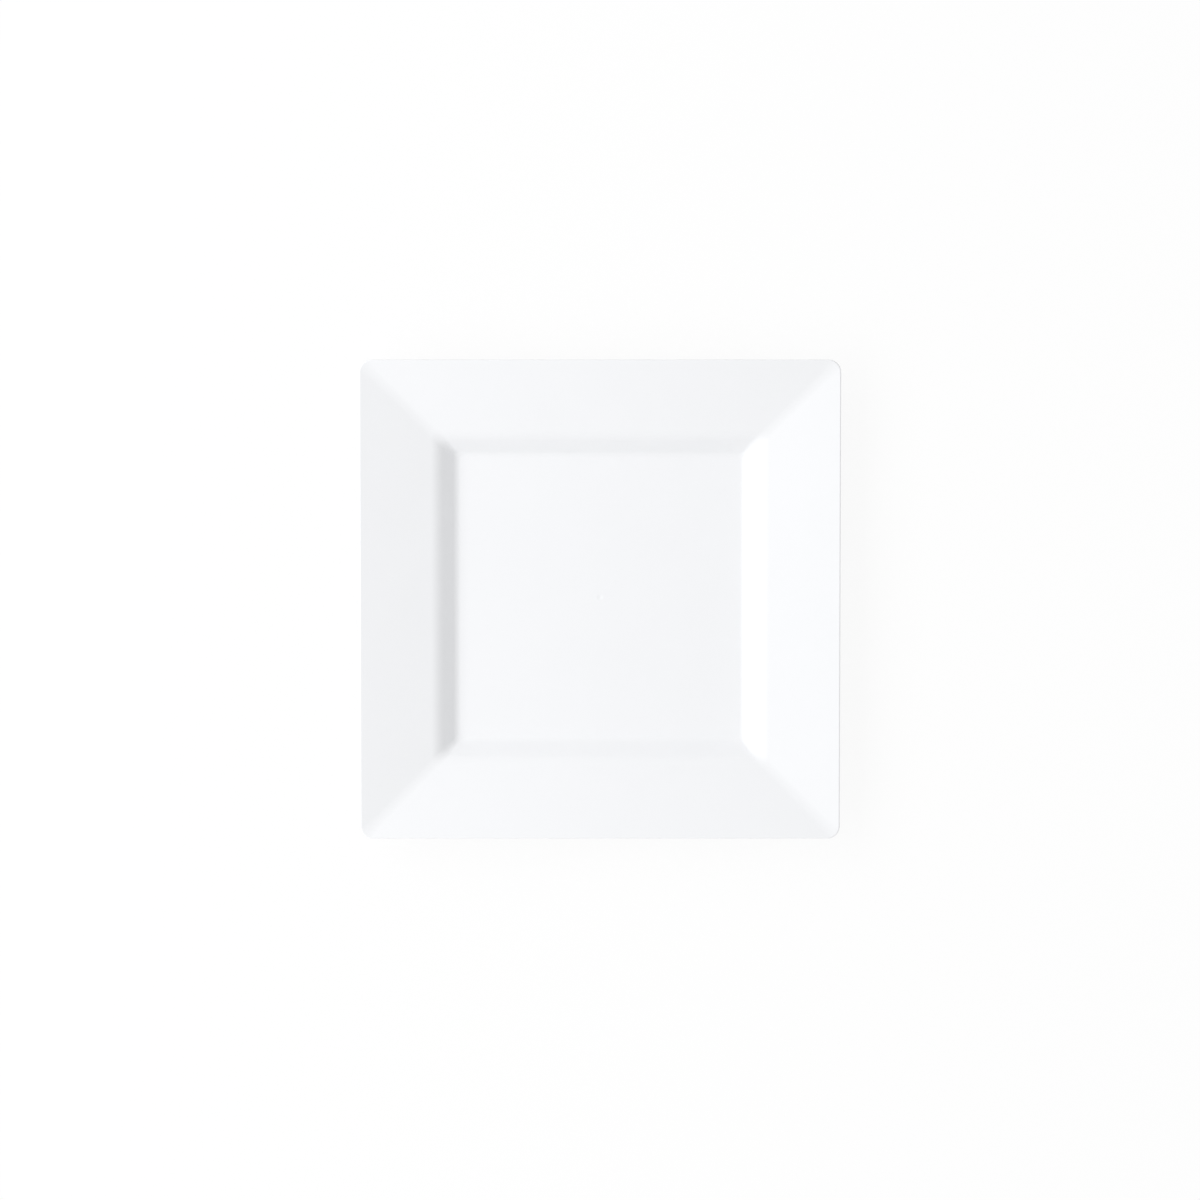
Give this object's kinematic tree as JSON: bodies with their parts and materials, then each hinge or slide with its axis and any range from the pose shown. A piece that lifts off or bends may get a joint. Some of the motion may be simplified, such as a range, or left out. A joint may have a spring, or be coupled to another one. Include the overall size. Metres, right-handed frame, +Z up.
{
  "type": "disposable square plate",
  "caption": "Square plate moulded in one piece of white plastic: a flat well, sloped walls, a wide rim that falls inwards to soft mitred corners, and a low foot ring.",
  "frame": {"origin": "middle of the plate, on the surface that its foot ring stands on", "axes": "+Z up out of the well, +X to the right and +Y away from a diner who sits at the front side"},
  "size_m": [0.1142, 0.1142, 0.01],
  "materials": {
    "white_polystyrene": "gloss"
  },
  "bodies": {
    "root": {"square_plate": "white_polystyrene"}
  },
  "joints": []
}
